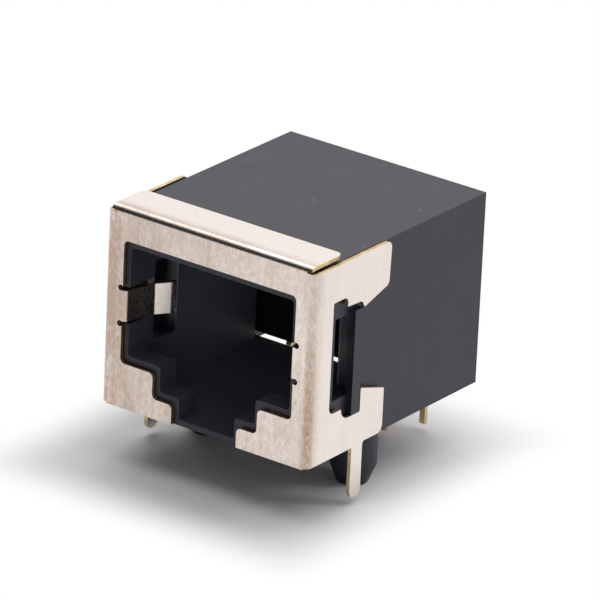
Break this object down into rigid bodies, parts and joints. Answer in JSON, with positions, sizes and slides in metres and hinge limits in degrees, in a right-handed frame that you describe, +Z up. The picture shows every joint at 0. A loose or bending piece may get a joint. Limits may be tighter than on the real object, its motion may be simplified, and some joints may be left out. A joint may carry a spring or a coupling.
{
  "type": "rj45 board jack",
  "caption": "Shielded modular jack for a circuit board: black housing with a stepped plug port, folded metal shield, contact carrier, bent contacts, locating pegs and solder pins.",
  "frame": {"origin": "on the board's top face, midway between the axes of the two locating pegs", "axes": "+X to the right seen from the plug side, +Y towards the back of the jack, the plug enters from -Y, +Z up from the board"},
  "size_m": [0.0162, 0.0185, 0.0173],
  "materials": {
    "housing": "moulded black plastic, satin, faint flow streaks",
    "contact_carrier": "moulded black plastic",
    "contact": "stamped and plated copper alloy",
    "shield": "nickel-plated sheet, faintly brushed, brassy sheared edges"
  },
  "bodies": {
    "root": {"housing": "housing", "contact_carrier": "contact_carrier", "contact_1": "contact", "contact_2": "contact", "contact_3": "contact", "contact_4": "contact", "contact_5": "contact", "contact_6": "contact", "contact_7": "contact", "contact_8": "contact", "shield": "shield"}
  },
  "joints": []
}
